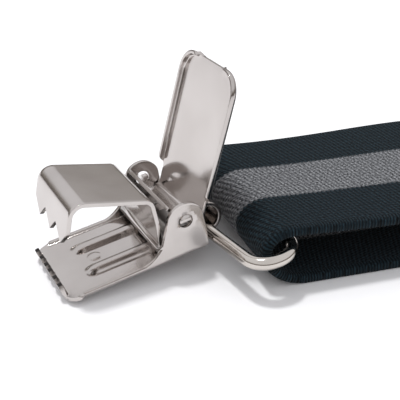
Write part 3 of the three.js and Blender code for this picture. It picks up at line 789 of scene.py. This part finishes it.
# ---- fittings ----
POSES = {
    "left": clip_places(left_place, False, 0.4, FOLD_SKEW, 2.7, 4.7, -3.6),
    "right": clip_places(right_place, True, 0, 0, 0, 0, 0),
    "back": clip_places(back_place, True, 0, 0, 0, 0, 0),
}
for side, (loop_at, clip_at, jaw_at, lever_at) in POSES.items():
    clip = side + "_clip"
    metal_piece(make_wire(), clip + "_wire_loop", WIRE, loop_at, side + "_loop", "nickel_wire")
    metal_piece(make_base(), clip + "_base", SHEET, clip_at, clip, "nickel_sheet")
    metal_piece(make_jaw(), clip + "_jaw", SHEET, jaw_at, side + "_jaw", "nickel_sheet")
    metal_piece(make_lever(), clip + "_lever", SHEET, lever_at, side + "_lever", "nickel_sheet")
    softened(clip + "_leaf_spring", STEEL, clip, "spring_steel", 0.05)
    softened(clip + "_spring_rivet", STEEL, clip, "spring_steel", 0.05)
for side in ("left", "right"):
    softened(side + "_adjuster_frame", SHEET, "webbing", "nickel_sheet")
    softened(side + "_adjuster_cam_lever", SHEET, side + "_cam_lever", "nickel_sheet")
    softened(side + "_adjuster_pin", STEEL, "webbing", "spring_steel")
for node in ("yoke_leather", "yoke_lining"):
    softened(node, LEATHER, "webbing", "yoke_leather", 0.3)


def add_stitching(inset=2.2, pitch=3.0, length=2.0):
    """A row of sewn stitches along the yoke's edge, sunk half into the leather."""
    low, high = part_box("yoke_leather")
    rim = [v.co.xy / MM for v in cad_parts["yoke_leather"].data.vertices if v.co.z > high.z - 0.01 * MM]
    middle = (low.xy + high.xy) / 2 / MM

    def bearing(p):
        return math.atan2(p[1] - middle.y, p[0] - middle.x)

    loop = [Vector(p) for p in sorted({(round(p.x, 2), round(p.y, 2)) for p in rim}, key=bearing)]
    line = []
    for i, p in enumerate(loop):
        ahead = (loop[(i + 1) % len(loop)] - loop[i - 1]).normalized()
        line.append(p + Vector((-ahead.y, ahead.x)) * inset)
    bm = bmesh.new()
    need = pitch / 2
    for a, b in zip(line, line[1:] + line[:1]):
        span = (b - a).length
        done = 0.0
        while span - done > need:
            done += need
            need = pitch
            at = a.lerp(b, done / span)
            heading = math.atan2(b.y - a.y, b.x - a.x)
            place = Matrix.Translation((at.x, at.y, high.z / MM)) @ Matrix.Rotation(heading, 4, "Z")
            size = Matrix.Diagonal((length / 2, 0.3, 0.22, 1))
            bmesh.ops.create_uvsphere(bm, u_segments=10, v_segments=6, radius=1, matrix=place @ size)
        need -= span - done
    bmesh.ops.transform(bm, matrix=Matrix.Scale(MM, 4), verts=bm.verts)
    finish_piece(bm, "yoke_stitching", THREAD, "webbing", "yoke_leather")


add_stitching()

# ---- studio ----
CAMERA_FROM_FOLD = Vector((-47.78, -135.91, 94.74))
CAMERA_TURN = -15.1
CAMERA_DROP = 30.85
FOCAL_LENGTH = 75.24


def add_floor():
    bm = bmesh.new()
    bmesh.ops.create_grid(bm, x_segments=1, y_segments=1, size=40)
    mesh = bpy.data.meshes.new("floor")
    bm.to_mesh(mesh)
    bm.free()
    floor = bpy.data.objects.new("floor", mesh)
    bpy.context.scene.collection.objects.link(floor)
    nodes = Nodes("floor_paper", Roughness=0.9)
    nodes.shader.inputs["Specular IOR Level"].default_value = 0.1
    fibre = nodes.object_noise(400.0, 3.0)
    white = nodes.mix(fibre, (0.93, 0.93, 0.94, 1), (0.95, 0.95, 0.96, 1))
    nodes.feed(nodes.shader.inputs["Base Color"], white)
    mesh.materials.append(nodes.material)


def add_light(name, place, target, size, power, colour=(1, 1, 1)):
    light = bpy.data.lights.new(name, "AREA")
    light.shape = "DISK"
    light.size = size
    light.energy = power
    light.color = colour
    lamp = bpy.data.objects.new(name, light)
    lamp.location = place
    lamp.rotation_mode = "QUATERNION"
    lamp.rotation_quaternion = (Vector(target) - Vector(place)).to_track_quat("-Z", "Y")
    bpy.context.scene.collection.objects.link(lamp)


def add_world():
    """A soft white surround overhead that falls off to a dim, warm room near the horizon."""
    world = bpy.data.worlds.new("studio")
    world.use_nodes = True
    tree = world.node_tree
    direction = tree.nodes.new("ShaderNodeTexCoord")
    split = tree.nodes.new("ShaderNodeSeparateXYZ")
    ramp = tree.nodes.new("ShaderNodeValToRGB")
    tree.links.new(direction.outputs["Generated"], split.inputs[0])
    tree.links.new(split.outputs["Z"], ramp.inputs[0])
    tree.links.new(ramp.outputs[0], tree.nodes["Background"].inputs["Color"])
    stops = ramp.color_ramp.elements
    stops[0].position, stops[0].color = 0.1, (0.16, 0.14, 0.125, 1)
    stops[1].position, stops[1].color = 0.38, (0.86, 0.86, 0.88, 1)
    stop = stops.new(0.22)
    stop.color = (0.34, 0.315, 0.29, 1)
    bpy.context.scene.world = world


def add_camera():
    camera = bpy.data.objects.new("camera", bpy.data.cameras.new("camera"))
    camera.data.lens = FOCAL_LENGTH
    camera.data.sensor_width = 36
    camera.data.clip_start = 0.005
    camera.location = left_place @ (CAMERA_FROM_FOLD * MM)
    camera.rotation_euler = (math.radians(90 - CAMERA_DROP), 0, math.radians(CAMERA_TURN))
    bpy.context.scene.collection.objects.link(camera)
    bpy.context.scene.camera = camera


add_floor()
add_world()
add_light("back_key", (-0.292, 0.183, 0.865), (-0.15, -0.02, 0), 0.11, 3.75)
add_camera()
bpy.context.scene.view_settings.view_transform = "Standard"
